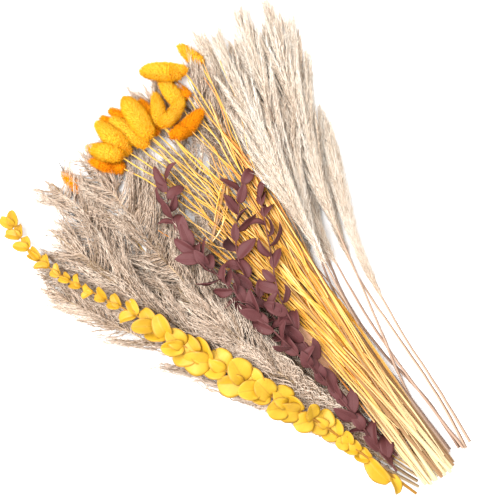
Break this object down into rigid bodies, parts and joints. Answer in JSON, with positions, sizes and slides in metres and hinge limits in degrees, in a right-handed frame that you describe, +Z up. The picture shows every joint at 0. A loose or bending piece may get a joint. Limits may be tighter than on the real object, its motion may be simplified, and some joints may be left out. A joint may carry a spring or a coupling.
{
  "type": "dried pampas grass bouquet",
  "caption": "Flat-lying fan-shaped bundle of dried pampas and reed plumes, yellow bunny tails, dyed straws, burgundy twigs and a yellow eucalyptus branch.",
  "frame": {"origin": "middle of the bundle's bounding box, on the surface it lies on", "axes": "+Y along the bundle from the cut ends to the plume tips, +X across it to the reed side, +Z up from the surface"},
  "size_m": [0.3256, 0.4566, 0.0591],
  "materials": {
    "pampas_grass": "fine matt fluff, warm grey beige",
    "reed_grass": "fine silky fluff, pale cream beige, on mauve brown stems",
    "bunny_tail": "short dense dyed fuzz, yellow to orange",
    "straw": "satin dyed straw, golden yellow fading to pale cream at the cut ends",
    "burgundy_leaf": "matt preserved leaf, burgundy brown",
    "eucalyptus_leaf": "matt preserved leaf, golden yellow",
    "dried_leaf": "matt dry grass leaf, pale peach"
  },
  "bodies": {
    "root": {"pampas_grass_1": "pampas_grass", "pampas_grass_2": "pampas_grass", "pampas_grass_3": "pampas_grass", "pampas_grass_4": "pampas_grass", "pampas_grass_5": "pampas_grass", "pampas_grass_6": "pampas_grass", "pampas_grass_7": "pampas_grass", "pampas_grass_8": "pampas_grass", "pampas_grass_9": "pampas_grass", "reed_grass_1": "reed_grass", "reed_grass_2": "reed_grass", "reed_grass_3": "reed_grass", "reed_grass_4": "reed_grass", "reed_grass_5": "reed_grass", "reed_grass_6": "reed_grass", "reed_grass_7": "reed_grass", "reed_grass_8": "reed_grass", "bunny_tail_1": "bunny_tail", "bunny_tail_2": "bunny_tail", "bunny_tail_3": "bunny_tail", "bunny_tail_4": "bunny_tail", "bunny_tail_5": "bunny_tail", "bunny_tail_6": "bunny_tail", "bunny_tail_7": "bunny_tail", "bunny_tail_8": "bunny_tail", "bunny_tail_9": "bunny_tail", "bunny_tail_10": "bunny_tail", "bunny_tail_11": "bunny_tail", "bunny_tail_12": "bunny_tail", "bunny_tail_13": "bunny_tail", "bunny_tail_14": "bunny_tail", "bunny_tail_15": "bunny_tail", "bunny_tail_16": "bunny_tail", "straw_1": "straw", "straw_2": "straw", "straw_3": "straw", "straw_4": "straw", "straw_5": "straw", "straw_6": "straw", "straw_7": "straw", "straw_8": "straw", "straw_9": "straw", "straw_10": "straw", "straw_11": "straw", "straw_12": "straw", "straw_13": "straw", "straw_14": "straw", "straw_15": "straw", "straw_16": "straw", "straw_17": "straw", "straw_18": "straw", "straw_19": "straw", "straw_20": "straw", "straw_21": "straw", "burgundy_branch_1": "burgundy_leaf", "burgundy_branch_2": "burgundy_leaf", "burgundy_branch_3": "burgundy_leaf", "eucalyptus_branch": "eucalyptus_leaf", "dried_leaf": "dried_leaf"}
  },
  "joints": []
}
